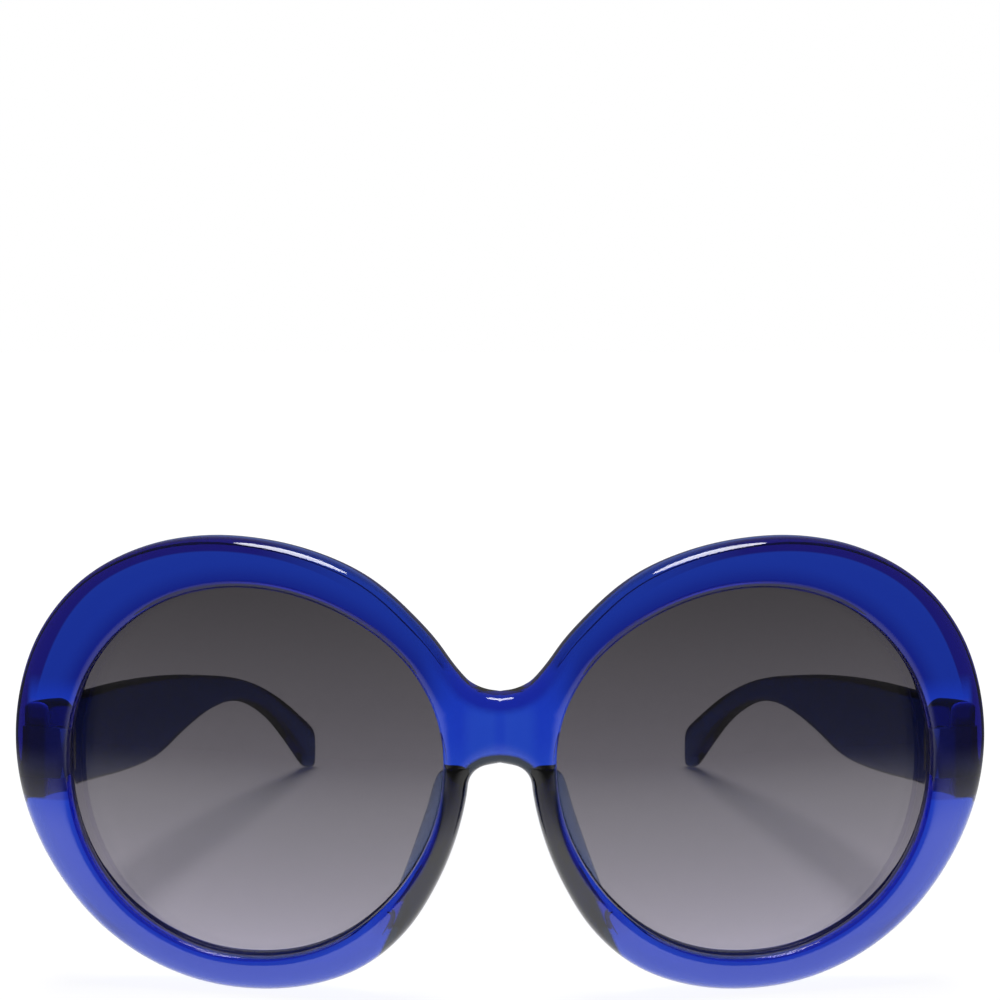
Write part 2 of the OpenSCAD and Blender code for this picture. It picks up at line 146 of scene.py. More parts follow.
# Where the front's painted shade fades, zone by zone: the dark surroundings that the clear
# plastic refracts and mirrors, painted into its colour. Each fade gives the measure, from and to
# where, and the share at both. Side is the distance from the middle plane, height is above the
# table, edge and lens are the distances from the free edge and from the lens opening, and slant
# is a leaning line beside the nose, SLANT times the height up to SLANT_TOP
PAINTED_SHADE_FADES = {
    "brow": (("height", 0.044, 0.05, 0, 1), ("side", 0.005, 0.013, 0, 1)),
    "brow_lens": (("lens", 0.0006, 0.0045, 0, 1),),
    "brow_end": (("side", 0.02, 0.04, 1, 0),),
    "bridge": (("height", 0.036, 0.043, 0, 1),),
    "column": (
        ("side", 0.004, 0.0064, 1, 0), ("height", 0.045, 0.0486, 1, 0),
        ("side", 0.0002, 0.0014, 0.4, 1),
    ),
    "crest": (
        ("edge", 0.0014, 0.003, 1, 0), ("side", 0.01, 0.016, 1, 0), ("height", 0.043, 0.044, 0, 1),
    ),
    "nose": (
        ("side", 0.03, 0.034, 1, 0), ("height", 0.0372, 0.0382, 1, 0),
        ("slant", 0.0218, 0.0224, 1, 0),
    ),
    "arch": (
        ("side", 0.012, 0.013, 1, 0), ("height", 0.04, 0.041, 1, 0), ("edge", 0.0015, 0.0021, 1, 0),
    ),
    "seat": (
        ("height", 0.0296, 0.0302, 0, 1), ("height", 0.0454, 0.046, 1, 0),
        ("side", 0.067, 0.068, 0, 1),
    ),
    "seat_edge": (("side", 0.0726, 0.0734, 0, 1), ("height", 0.0425, 0.0432, 1, 0)),
    "seat_foot": (("height", 0.0325, 0.0345, 1, 0),),
    "strip": (
        ("side", 0.0752, 0.0764, 0, 1), ("height", 0.033, 0.036, 0, 1),
        ("height", 0.049, 0.054, 1, 0),
    ),
}
SLANT = 0.42
SLANT_TOP = 0.027
# The soft side of the painted shade band along the edge, and how it narrows from the first
# height to the second
BAND_SOFT = 0.0003
BAND_HEIGHTS = (0.05, 0.0705)
BAND_SHIFTS = (0.0009, -0.0008)
# The painted shade beside a lens at the nose: its own fade, and how that narrows with the height
NOSE_LENS_FADE = (0.0004, 0.0014)
NOSE_LENS_HEIGHTS = (0.022, 0.036)
NOSE_LENS_SHIFT = 0.0011
# Where the walls round the lenses begin: they carry painted shade and a matt finish
WALL_FADE = (0.1, 0.3)
POLISH_HEIGHTS = (0.024, 0.034)

# The table behind the lenses, where shadows stay: how it narrows, and where its side, its
# front and its far end fade
ZONE_SLOPE = 0.36
ZONE_SIDE = (0.048, 0.054)
ZONE_FRONT = (0.016, 0.03)
ZONE_END = (0.18, 0.26)


def length(name, words, default, low, high):
    """A size in metres that the panel shows."""
    return bpy.props.FloatProperty(
        name=name, description=words, default=default, min=low, max=high,
        unit="LENGTH", subtype="DISTANCE", precision=4,
    )


def colour(name, words, default):
    """A colour that the panel shows."""
    return bpy.props.FloatVectorProperty(
        name=name, description=words, default=default, min=0, max=1, size=3, subtype="COLOR",
    )


def number(name, words, default, low, high, subtype="NONE"):
    """A plain number that the panel shows."""
    return bpy.props.FloatProperty(
        name=name, description=words, default=default, min=low, max=high, subtype=subtype,
    )


def share(name, words, default):
    """A share from 0 to 1 that the panel shows."""
    return number(name, words, default, 0, 1, "FACTOR")


class SunglassesFront(bpy.types.PropertyGroup):
    """Sizes of the rims, the bridge and the nose pads"""

    lens_width: length("Opening Width", "Width of a lens opening", 0.060, 0.056, 0.063)
    lens_height: length("Opening Height", "Height of a lens opening", 0.0584, 0.055, 0.061)
    bridge_width: length("Bridge Width", "Gap between the two openings", 0.0178, 0.017, 0.02)
    bridge_height: length("Bridge Height", "Height of the bridge's middle", 0.0104, 0.01, 0.013)
    bridge_base: length("Bridge Base", "Height of the bridge's underside", 0.038, 0.035, 0.039)
    rim_width: length("Rim Width", "Widest place of a rim, above the temple", 0.0104, 0.0102, 0.012)
    depth: length("Depth", "Depth of the front from face to back", 0.0062, 0.006, 0.007)
    wrap_radius: length("Wrap", "Radius of the wrap, seen from above", 0.255, 0.22, 0.3)
    face_radius: length("Side Curve", "Radius of the front, seen from the side", 0.143, 0.13, 0.17)
    edge_round: length("Outer Edge", "Rounding of the face's outer edge", 0.0017, 0.0015, 0.0026)
    lip_round: length("Lip", "Rounding of the face beside a lens", 0.0011, 0.0006, 0.0012)
    crown: length("Crown", "Rise of the face between its edges", 0.0005, 0.0002, 0.0006)
    back_round: length("Back Edge", "Rounding of the back's edges", 0.0007, 0.0004, 0.0007)
    saddle_radius: length("Saddle", "Radius of the saddle on the bridge", 0.0083, 0.007, 0.009)
    pad_reach: length("Pad Reach", "How far a pad reaches behind the front", 0.0075, 0.0065, 0.009)
    pad_flare: length("Pad Flare", "How far a pad spreads at its rear edge", 0.0034, 0.0025, 0.005)
    pad_thickness: length("Pad Thickness", "Thickness of a nose pad", 0.0018, 0.0015, 0.0019)
    pad_height: length("Pad Height", "Height of a nose pad along the rim", 0.024, 0.018, 0.026)
    pad_drop: length("Pad Drop", "Distance of the pad below the bridge", 0.0014, 0.001, 0.003)


class SunglassesLens(bpy.types.PropertyGroup):
    """Sizes and colours of the lenses"""

    thickness: length("Thickness", "Thickness of a lens", 0.0018, 0.0015, 0.002)
    curve: length("Curve", "Radius of the lens's curve", 0.14, 0.125, 0.17)
    inset: length("Inset", "Depth of the lens's middle behind the face", 0.002, 0.0019, 0.0022)
    groove: length("Groove", "Depth of the groove round the lens", 0.001, 0.0006, 0.0012)
    clearance: length("Clearance", "Clearance of the lens in its groove", 0.00012, 0.00008, 0.00015)
    top: colour("Top Tint", "Light that the lens passes at its top", (0.0455, 0.042, 0.0465))
    bottom: colour("Bottom Tint", "Light that it passes at its bottom", (0.375, 0.35, 0.42))


class SunglassesTemple(bpy.types.PropertyGroup):
    """Sizes of the temples"""

    reach: length("Reach", "Level length from the front end to the tip", 0.123, 0.11, 0.135)
    height: length("Height", "Height of the top edge at the hinge", 0.0442, 0.042, 0.046)
    thickness: length("Thickness", "Thickness at the hinge", 0.0038, 0.0034, 0.0042)
    tip_thickness: length("Tip Thickness", "Thickness at the tip", 0.0034, 0.003, 0.004)
    tip_inset: length("Tip Inset", "How far the tip stands inward", 0.0295, 0.02, 0.032)
    side_inset: length("Side Inset", "Inset from the side of the rim", 0.0018, 0.0012, 0.0024)
    edge_round: length("Edge", "Rounding of the long edges", 0.0013, 0.0008, 0.0015)
    tip_round: length("Tip Corner", "Rounding of the tip's corners", 0.003, 0.002, 0.0036)
    gap: length("Gap", "Gap between the front end and the rim", 0.00015, 0.0001, 0.0003)


class SunglassesFinish(bpy.types.PropertyGroup):
    """Colours and finish of the plastic and the steel, with painted shade on the plastic"""

    plastic: colour("Plastic", "What a millimetre of the plastic passes", (0.2, 0.47, 0.875))
    density: number("Depth of Colour", "How fast the plastic darkens", 870, 100, 2000)
    plastic_rough: share("Plastic Roughness", "Roughness of the polished plastic", 0.02)
    # Painted shade: the front's tints below stand for the dark surroundings that the clear plastic
    # refracts and mirrors. This is the width of the painted dark band along the upper edge
    band: length("Edge Band", "Width of the deeper band along the upper edge", 0.0026, 0.002, 0.005)
    # Painted shade on the bridge above the pads
    bridge_painted_shade: colour("Bridge Tint", "What the front passes above the pads", (0.26, 0.42, 0.82))
    # Painted shade in the dark band along the upper edge and in the strip outside the hinges
    band_painted_shade: colour("Edge Band Tint", "What that band passes", (0.15, 0.006, 0.08))
    # Painted shade on the upper rims, deeper beside the lenses
    brow_painted_shade: colour("Brow Tint", "What the upper rims pass", (0.18, 0.21, 0.33))
    brow_lens_painted_shade: colour("Brow Lens Tint", "The same beside the lenses", (0.03, 0.02, 0.16))
    # Painted shade: the walls round the lenses are painted near black, for the dark line there
    wall_painted_shade: colour("Lens Wall", "What the walls round the lenses pass", (0.01, 0.012, 0.05))
    polish: share("Lower Polish", "How much more the lower rims mirror", 0.9)
    wall_rough: share("Wall Roughness", "How matt the cut walls round the lenses are", 0.55)
    # Painted shade on the rims beside the nose and under the bridge, deeper beside the lenses
    nose_painted_shade: colour("Nose Tint", "What the rims beside the nose pass", (0.15, 0.055, 0.004))
    nose_lens_painted_shade: colour("Nose Lens Tint", "The same beside the lenses", (0.5, 0.3, 0.45))
    # Painted light: the bridge's middle is kept lighter than its painted shade
    column_painted_light: colour("Bridge Middle Tint", "The same at the bridge's middle", (0.95, 1.0, 0.9))
    # Painted shade along the bridge's top, below its edge
    crest_painted_shade: colour("Bridge Crest Tint", "The same along the bridge's top", (0.12, 0.08, 0.41))
    # Painted shade on the rims before the hinges, where the hinge and the temple's end block light
    hinge_painted_shade: colour("Hinge Seat", "What the rims pass before the hinges", (1.0, 0.36, 0.55))
    hinge_edge_painted_shade: colour("Hinge Seat Edge", "The same at the outer edge", (1.0, 0.3, 0.2))
    hinge_foot_painted_shade: colour("Hinge Seat Foot", "The same at its lower end", (0.6, 0.12, 0.05))
    # Painted shade: the temples pass less light, for the dark surroundings they show
    temple_painted_shade: colour("Temple Tint", "What the temples' faces pass", (0.26, 0.25, 0.36))
    temple_shade: colour("Temple Shadow", "What a temple leaves in its shadow", (0.7, 0.6, 0.4))
    sawn_tint: colour("Sawn End", "Colour of a temple's sawn front end", (0.65, 0.55, 0.95))
    steel: colour("Steel", "Colour of the hinges", (0.58, 0.58, 0.61))
    screw: colour("Screw", "Colour of the screws", (0.7, 0.7, 0.72))


class SunglassesStage(bpy.types.PropertyGroup):
    """Camera, floor and light"""

    camera_distance: length("Camera Distance", "From the face to the camera", 0.25, 0.2, 0.6)
    camera_height: length("Camera Height", "Height above the table", 0.1058, 0.02, 0.3)
    camera_shift: number("Camera Shift", "Upward shift of the level view", -0.174, -0.5, 0.5)
    focal: number(
        "Focal Length", "Focal length on a 36 mm sensor", 58.5, 20, 200, "DISTANCE_CAMERA"
    )
    floor_half: length("Floor Half Width", "Half the width of the floor", 6.0, 1.0, 20.0)
    floor_colour: colour("Floor", "Colour of the floor", (0.9, 0.9, 0.9))
    key_strength: number("Key Light", "Strength of the soft light from above", 2.9, 0, 10)
    room: share("Room", "Brightness of the dim room that polished faces mirror", 0.13)
    table_near: length("Mirrored Table", "How far from the rims it is mirrored", 0.05, 0, 1)
    table_far: length("Mirrored Table End", "Where the dim room takes its place", 0.17, 0.1, 2)
    shadow_share: share("Shadows", "How deep they are away from the lenses", 0.15)
    floor_glow: share("Table White", "White that it keeps in deep shadows", 0.08)


def catmull(values, place):
    """Value of a smooth closed curve through evenly spaced values."""
    first = math.floor(place)
    t = place - first
    a, b, c, d = (values[(first + k) % len(values)] for k in (-1, 0, 1, 2))
    return b + t / 2 * (c - a + t * (2 * a - 5 * b + 4 * c - d + t * (3 * (b - c) + d - a)))


def hermite(xs, ys, t):
    """Value of a smooth open curve through unevenly spaced points."""
    i = max(k for k in range(len(xs) - 1) if k == 0 or xs[k] <= t)

    def slope(k):
        a, b = max(k - 1, 0), min(k + 1, len(xs) - 1)
        return (ys[b] - ys[a]) / (xs[b] - xs[a])

    h = xs[i + 1] - xs[i]
    u = (t - xs[i]) / h
    v = 1 - u
    ends = ys[i] * v * v * (1 + 2 * u) + ys[i + 1] * u * u * (3 - 2 * u)
    return ends + h * u * v * (v * slope(i) - u * slope(i + 1))


def rounding(t, r):
    """Drop of a rounded edge of radius r, at distance t inside it."""
    return 0.0 if t >= r else r - math.sqrt(max(0.0, r * r - (r - t) ** 2))


def apart(p, a, b):
    """Distance of the point p from the line between a and b, all (x, z)."""
    d = b - a
    t = max(0.0, min(1.0, (p - a).dot(d) / max(d.dot(d), LINE_LEAST)))
    return (p - a - d * t).length


class FrontShape:
    """The front's outline and depth as formulas, on the wearer's left half."""

    def __init__(self, sizes, lens):
        self.s = sizes
        self.lens = lens
        self.lens_x = (sizes.bridge_width + sizes.lens_width) / 2
        self.lens_z = self.outer(270)
        self.face_z = (self.lens_z + self.outer(90)) / 2
        self.outline, (first, last) = self.make_outline()
        under, over = self.outline[: first + 1], self.outline[last:] + self.outline[:1]
        self.edge_lines = [*zip(under, under[1:]), *zip(over, over[1:])]
        turn = math.asin(self.lens_x / sizes.wrap_radius)
        ball = lens.curve + lens.inset
        self.ball = Vector((
            self.lens_x - ball * math.sin(turn),
            self.face(self.lens_x, self.lens_z) + ball * math.cos(turn),
            self.lens_z,
        ))
        lean = math.atan(sizes.pad_flare / sizes.pad_reach)
        self.pad_half = sizes.pad_thickness / 2 / math.cos(lean)
        near = min(p.y for q in self.outline for p in self.section(q))
        low = min(p.z for q in self.outline for p in self.section(q))
        self.place = Vector((0, FRONT_BOX[0][1] - near, FRONT_BOX[0][2] - low))

    def opening(self, angle):
        """Radius of the lens opening at an angle, in degrees."""
        turn = math.radians(angle)
        reach = math.hypot(
            math.cos(turn) / (self.s.lens_width / 2), math.sin(turn) / (self.s.lens_height / 2)
        )
        return catmull(OPENING_SHARES, angle / ANGLE_STEP) / reach

    def outer(self, angle):
        """Radius of the rim's outer edge at an angle, in degrees."""
        return self.opening(angle) + self.s.rim_width * catmull(RIM_SHARES, angle / ANGLE_STEP)

    def polar(self, angle, r):
        """Point (x, z) at an angle and distance from the middle of the lens."""
        turn = math.radians(angle)
        return Vector((self.lens_x - r * math.cos(turn), self.lens_z + r * math.sin(turn)))

    def make_outline(self):
        """The outline of one half, and the places in it where the bridge's middle lies."""
        s = self.s
        rim = [
            self.polar(a, self.outer(a))
            for a in (RIM_FROM + i * (RIM_TO - RIM_FROM) / RIM_STEPS for i in range(RIM_STEPS + 1))
        ]
        end = rim[-1]
        arch = []
        for i in range(ARCH_STEPS - 1, 0, -1):
            a = i * math.pi / 2 / ARCH_STEPS
            arch.append(Vector((
                end.x * math.sin(a) ** ARCH_SHARE,
                end.y + (s.bridge_base - end.y) * math.cos(a) ** ARCH_SHARE,
            )))
        middle = [Vector((0, s.bridge_base + s.bridge_height * k)) for k in BRIDGE_SHARES]
        saddle = []
        for i in range(1, SADDLE_STEPS + 1):
            a = math.radians(i * SADDLE_TO / SADDLE_STEPS)
            rise = s.saddle_radius * (1 - math.cos(a))
            saddle.append(Vector((
                s.saddle_radius * math.sin(a), s.bridge_base + s.bridge_height + rise
            )))
        first = len(rim) + len(arch)
        return rim + arch + middle + saddle, (first, first + len(middle) - 1)

    def face(self, x, z):
        """Depth of the plain face, wrapped round the head."""
        wrap = self.s.wrap_radius
        lean = (z - self.face_z) ** 2 / (2 * self.s.face_radius)
        return wrap - math.sqrt(wrap * wrap - x * x) + lean

    def back(self, x, z):
        """Depth of the plain back."""
        return self.face(x, z) + self.s.depth

    def lens_depth(self, x, z, r):
        """Depth of a ball of radius r about the middle of the lens's ball."""
        across = (x - self.ball.x) ** 2 + (z - self.ball.z) ** 2
        return self.ball.y - math.sqrt(r * r - across)

    def free(self, p):
        """Distance of a point (x, z) from the front's free edge."""
        return min(apart(p, a, b) for a, b in self.edge_lines)

    def beside_lens(self, p):
        """Distance of a point (x, z) from the lens opening."""
        out = p - Vector((self.lens_x, self.lens_z))
        return out.length - self.opening(math.degrees(math.atan2(out.y, -out.x)) % 360)

    def pad_share(self, z):
        """Place of a height along the nose pad, from 0 at its top end to 1."""
        top = self.s.bridge_base - self.s.pad_drop
        return max(0.0, min(1.0, (top - z) / self.s.pad_height))

    def section(self, p):
        """A closed loop of points: over the face, down the lens wall and back along the rear."""
        s = self.s
        angle = math.degrees(math.atan2(p.y - self.lens_z, self.lens_x - p.x)) % 360
        inner = self.opening(angle)
        lip = self.polar(angle, inner)
        seat = self.polar(angle, inner + self.lens.groove)
        mid_r = self.lens.curve - self.lens.thickness / 2
        half = self.lens.thickness / 2 + self.lens.clearance
        width = (p - lip).length
        loop = []
        for i in range(FACE_ROWS + 1):
            q = p.lerp(lip, (1 - math.cos(math.pi * i / FACE_ROWS)) / 2)
            t, r = self.free(q), (q - lip).length
            rise = s.crown * (1 - 4 * t * r / (t + r) ** 2) if t + r > 0 else s.crown
            depth = self.face(q.x, q.y) + rise
            depth += rounding(t, s.edge_round)
            depth += rounding(r, s.lip_round)
            loop.append(Vector((q.x, depth, q.y)))
        for q, side in ((lip, -1), (seat, -1), (seat, 1), (lip, 1)):
            loop.append(Vector((q.x, self.lens_depth(q.x, q.y, mid_r) + side * half, q.y)))

        def back_point(q):
            drop = rounding(self.free(q), s.back_round) + rounding((q - lip).length, s.back_round)
            return Vector((q.x, self.back(q.x, q.y) - drop, q.y))

        for k in BACK_EDGE_SHARES:
            loop.append(back_point(lip.lerp(p, k * s.back_round / width)))
        along = self.pad_share(lip.y)
        knots = [i / (len(PAD_SHARES) - 1) for i in range(len(PAD_SHARES))]
        out = 0.0
        if lip.x < self.lens_x:
            out = s.pad_reach * max(0.0, hermite(knots, PAD_SHARES, along))
        edge = s.back_round + self.pad_half
        seat_share = PAD_TOP_SHARE + (PAD_BOTTOM_SHARE - PAD_TOP_SHARE) * along
        middle = seat_share * min(width, s.rim_width * PAD_RIM_SHARE)
        middle = max(edge, min(width - edge, middle))
        for w, h in zip(PAD_WIDTHS, PAD_HEIGHTS):
            rise = out * h
            root = middle + self.pad_half * w
            foot = lip.lerp(p, root / width)
            head = lip.lerp(p, (root - rise * s.pad_flare / s.pad_reach) / width)
            loop.append(Vector((head.x, self.back(foot.x, foot.y) + rise, head.y)))
        for k in reversed(BACK_EDGE_SHARES):
            loop.append(back_point(p.lerp(lip, k * s.back_round / width)))
        return loop


def loop_of(bm, points):
    """New vertices at the points, joined into one closed loop of edges."""
    verts = [bm.verts.new(p) for p in points]
    return verts, [bm.edges.new((a, b)) for a, b in zip(verts, verts[1:] + verts[:1])]


def extrude_to(bm, verts, edges, points):
    """Extrudes a closed loop of edges, and moves its new vertices to the points."""
    made = bmesh.ops.extrude_edge_only(bm, edges=edges)["geom"]
    fresh = {g for g in made if isinstance(g, bmesh.types.BMVert)}
    after = []
    for v, p in zip(verts, points):
        new = next(e.other_vert(v) for e in v.link_edges if e.other_vert(v) in fresh)
        new.co = p
        after.append(new)
    pairs = zip(after, after[1:] + after[:1])
    return after, [bm.edges.get(pair) for pair in pairs]


def finish_piece(bm, name, body, stands_for, material, levels=0):
    """Makes the mesh an object that rides on its body and stands for its solid."""
    bmesh.ops.recalc_face_normals(bm, faces=bm.faces)
    mesh = bpy.data.meshes.new(name)
    bm.to_mesh(mesh)
    bm.free()
    for polygon in mesh.polygons:
        polygon.use_smooth = True
    piece = bpy.data.objects.new(name, mesh)
    bpy.context.scene.collection.objects.link(piece)
    mesh.materials.append(material)
    if levels:
        smooth = piece.modifiers.new("Smooth", "SUBSURF")
        smooth.levels = smooth.render_levels = levels
    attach(piece, body)
    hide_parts(stands_for)
    return piece


def front_mesh(shape):
    """The rims, the bridge and the nose pads in one skin."""
    bm = bmesh.new()
    crease = bm.edges.layers.float.new("crease_edge")
    place = bm.verts.layers.float_color.new("rim_place")
    loops = [[p + shape.place for p in shape.section(q)] for q in shape.outline]
    verts, edges = loop_of(bm, loops[0])
    rows = [verts]
    for loop in loops[1:] + loops[:1]:
        verts, edges = extrude_to(bm, verts, edges, loop)
        rows.append(verts)
    groove = range(FACE_ROWS + 1, FACE_ROWS + 1 + GROOVE_POINTS)
    for row in rows:
        for j, v in enumerate(row):
            q = Vector((v.co.x - shape.place.x, v.co.z - shape.place.z))
            near = (shape.free(q) / PLACE_UNIT, shape.beside_lens(q) / PLACE_UNIT)
            v[place] = (*near, float(j <= FACE_ROWS), float(j in groove))
    for before, after in zip(rows, rows[1:]):
        for j in groove:
            bm.edges.get((before[j], after[j]))[crease] = 1.0
    bmesh.ops.remove_doubles(bm, verts=bm.verts, dist=SAME_POINT)
    inside = [f for f in bm.faces if all(abs(v.co.x) < ON_MIDDLE for v in f.verts)]
    bmesh.ops.delete(bm, geom=inside, context="FACES_ONLY")
    bmesh.ops.delete(bm, geom=[e for e in bm.edges if not e.link_faces], context="EDGES")
    whole = bm.verts[:] + bm.edges[:] + bm.faces[:]
    bmesh.ops.mirror(bm, geom=whole, merge_dist=ACROSS_MIDDLE, axis="X")
    return bm


def lens_mesh(shape, lens, side):
    """A curved lens: rings from its middle to the edge in the groove, given their thickness."""
    bm = bmesh.new()
    reach = lens.groove - lens.clearance
    angles = [i * 360 / LENS_POINTS for i in range(LENS_POINTS)]

    def ring(part):
        points = []
        for a in angles:
            q = shape.polar(a, part * (shape.opening(a) + reach))
            depth = shape.lens_depth(q.x, q.y, lens.curve)
            points.append(Vector((side * q.x, depth, q.y)) + shape.place)
        return points

    verts, edges = loop_of(bm, ring(LENS_RINGS[0]))
    middle = shape.polar(0, 0)
    depth = shape.lens_depth(*middle, lens.curve)
    centre = Vector((side * middle.x, depth, middle.y)) + shape.place
    fan = bmesh.ops.extrude_edge_only(bm, edges=edges)["geom"]
    bmesh.ops.pointmerge(
        bm, verts=[g for g in fan if isinstance(g, bmesh.types.BMVert)], merge_co=centre
    )
    for part in LENS_RINGS[1:]:
        verts, edges = extrude_to(bm, verts, edges, ring(part))
    bmesh.ops.recalc_face_normals(bm, faces=bm.faces)
    if sum(f.normal.y for f in bm.faces) > 0:
        bmesh.ops.reverse_faces(bm, faces=bm.faces)
    bmesh.ops.solidify(bm, geom=bm.faces[:], thickness=lens.thickness)
    return bm


class TempleShape:
    """A temple's line and edges as formulas, on the wearer's left side."""

    def __init__(self, sizes, front):
        self.s = sizes
        self.front = front
        self.x = front.lens_x + front.outer(180) - sizes.side_inset - sizes.thickness / 2
        self.end = front.back(self.x, front.lens_z) + sizes.gap + sizes.reach
        tip = sizes.tip_round / sizes.reach
        self.places = [i * (1 - tip) / TEMPLE_STEPS for i in range(TEMPLE_STEPS)]
        self.places += [
            1 - tip + tip * math.sin(math.pi / 2 * i / TIP_STEPS) for i in range(TIP_STEPS + 1)
        ]
        self.drop = min(self.edge(s, BOTTOM_SHARES, 1) for s in self.places) + front.place.z

    def edge(self, s, shares, side):
        """Height of the top (side -1) or bottom (side 1) edge at a place."""
        tip = rounding((1 - s) * self.s.reach, self.s.tip_round)
        return self.s.height * hermite(ALONG_SHARES, shares, s) + side * tip

    def section(self, s):
        """A rectangle with rounded corners, as a closed loop of points."""
        size = self.s
        half_w = (size.thickness + (size.tip_thickness - size.thickness) * s) / 2
        half_w -= rounding((1 - s) * size.reach, size.edge_round)
        top = self.edge(s, TOP_SHARES, -1) - self.drop * s * s
        low = self.edge(s, BOTTOM_SHARES, 1) - self.drop * s * s
        half_h = (top - low) / 2
        r = min(size.edge_round, half_w, half_h)
        x = self.x - size.tip_inset * ((1 - BOW_SHARE) * s + BOW_SHARE * s * s)
        z = (top + low) / 2
        corners = []
        for sx, sz, start in ((1, 1, 0), (-1, 1, 90), (-1, -1, 180), (1, -1, 270)):
            for turn in CORNER_TURNS:
                a = math.radians(start + turn)
                corners.append((
                    x + sx * (half_w - r) + r * math.cos(a), z + sz * (half_h - r) + r * math.sin(a)
                ))
        loop = []
        for px, pz in corners:
            near = self.front.back(px, pz) + size.gap
            loop.append(Vector((px, near + s * (self.end - near), pz)))
        return loop


def temple_mesh(shape, side):
    """A temple: one section extruded along its line, closed, with a sawn front end."""
    bm = bmesh.new()
    place = shape.front.place
    loops = []
    for s in shape.places:
        loops.append([Vector((side * p.x, p.y, p.z)) + place for p in shape.section(s)])
    verts, edges = loop_of(bm, loops[0])
    start = bmesh.ops.edgeloop_fill(bm, edges=edges)["faces"]
    for loop in loops[1:]:
        verts, edges = extrude_to(bm, verts, edges, loop)
    end = bmesh.ops.edgeloop_fill(bm, edges=edges)["faces"]
    for cap, slot in ((start, 1), (end, 0)):
        ring = bmesh.ops.inset_individual(bm, faces=cap, thickness=SAWN_RING)["faces"]
        for face in cap + ring:
            face.material_index = slot
    return bm


def new_material(name):
    """An empty material: its node tree, its output and a Principled shader."""
    material = bpy.data.materials.new(name)
    material.use_nodes = True
    tree = material.node_tree
    tree.nodes.clear()
    output = tree.nodes.new("ShaderNodeOutputMaterial")
    shader = tree.nodes.new("ShaderNodeBsdfPrincipled")
    return material, tree, output, shader


def feed(tree, socket, value):
    """Links a socket to another one, or sets its number or its colour."""
    if isinstance(value, bpy.types.NodeSocket):
        tree.links.new(value, socket)
    elif socket.type == "RGBA":
        socket.default_value = (*value, 1)
    else:
        socket.default_value = value


def fill(tree, node, values):
    """Feeds a node's inputs, each named by its label or its place."""
    for label, value in values.items():
        feed(tree, node.inputs[label], value)


def add(tree, kind, values):
    """A new node with its inputs fed."""
    node = tree.nodes.new(kind)
    fill(tree, node, values)
    return node


def noise(tree, place, scale, detail):
    """A Noise node, and its result."""
    values = {"Vector": place, "Scale": scale, "Detail": detail}
    return add(tree, "ShaderNodeTexNoise", values).outputs["Fac"]


def power(tree, tint, exponent):
    """A Gamma node, and its result."""
    values = {"Color": tint, "Gamma": exponent}
    return add(tree, "ShaderNodeGamma", values).outputs["Color"]


def join(tree, operation, *values):
    """A Math node between sockets or numbers, and its result."""
    node = add(tree, "ShaderNodeMath", dict(enumerate(values)))
    node.operation = operation
    return node.outputs["Value"]


def ramp(tree, value, start, end, low, high, smooth=True):
    """A Map Range node from a socket, and its result."""
    node = add(tree, "ShaderNodeMapRange", {
        "Value": value, "From Min": start, "From Max": end, "To Min": low, "To Max": high,
    })
    node.interpolation_type = "SMOOTHSTEP" if smooth else "LINEAR"
    return node.outputs["Result"]


def blend(tree, share_of, first, second, kind="MIX"):
    """A Mix node between two colours, and its result."""
    node = tree.nodes.new("ShaderNodeMix")
    node.data_type = "RGBA"
    node.blend_type = kind
    fill(tree, node, {"Factor": share_of, "A": first, "B": second})
    return node.outputs["Result"]


def object_place(tree):
    """The Object coordinates."""
    return tree.nodes.new("ShaderNodeTexCoord").outputs["Object"]


def part_of(tree, axis):
    """One axis of the Object coordinates."""
    split = add(tree, "ShaderNodeSeparateXYZ", {"Vector": object_place(tree)})
    return split.outputs[axis]


def wear_group():
    """Fine marks of handling: a mask of smudges and hairlines, and their height."""
    name = "Handling Marks"
    if name in bpy.data.node_groups:
        return bpy.data.node_groups[name]
    group = bpy.data.node_groups.new(name, "ShaderNodeTree")
    for label, low, high in (("Roughness", 0.0, 1.0), ("Amount", 0.0, 1.0)):
        socket = group.interface.new_socket(
            name=label, in_out="INPUT", socket_type="NodeSocketFloat"
        )
        socket.min_value, socket.max_value = low, high
    for label in ("Roughness", "Height"):
        group.interface.new_socket(name=label, in_out="OUTPUT", socket_type="NodeSocketFloat")
    inside = group.nodes.new("NodeGroupInput")
    outside = group.nodes.new("NodeGroupOutput")
    place = object_place(group)
    stretch = add(group, "ShaderNodeMapping", {
        "Vector": place, "Scale": (1, 1, 14), "Rotation": (0.4, 0.9, 0.2),
    })
    smudge = noise(group, place, scale=55, detail=3)
    hair = noise(group, stretch.outputs["Vector"], scale=420, detail=2)
    hair = ramp(group, hair, *HAIR_CUT, 0, 1, smooth=False)
    marks = join(group, "MULTIPLY_ADD", smudge, SMUDGE_SHARE, hair)
    amount, least = inside.outputs["Amount"], inside.outputs["Roughness"]
    rough = join(group, "MULTIPLY_ADD", marks, amount, least)
    fill(group, outside, {"Roughness": rough, "Height": hair})
    return group


def add_wear(tree, shader, roughness, amount, depth):
    """Places the handling marks in a material, with hairlines of that depth in metres."""
    marks = tree.nodes.new("ShaderNodeGroup")
    marks.node_tree = wear_group()
    fill(tree, marks, {"Roughness": roughness, "Amount": amount})
    bump = add(tree, "ShaderNodeBump", {
        "Strength": 0.25, "Distance": depth, "Height": marks.outputs["Height"],
    })
    fill(tree, shader, {
        "Roughness": marks.outputs["Roughness"], "Normal": bump.outputs["Normal"],
    })
    return marks


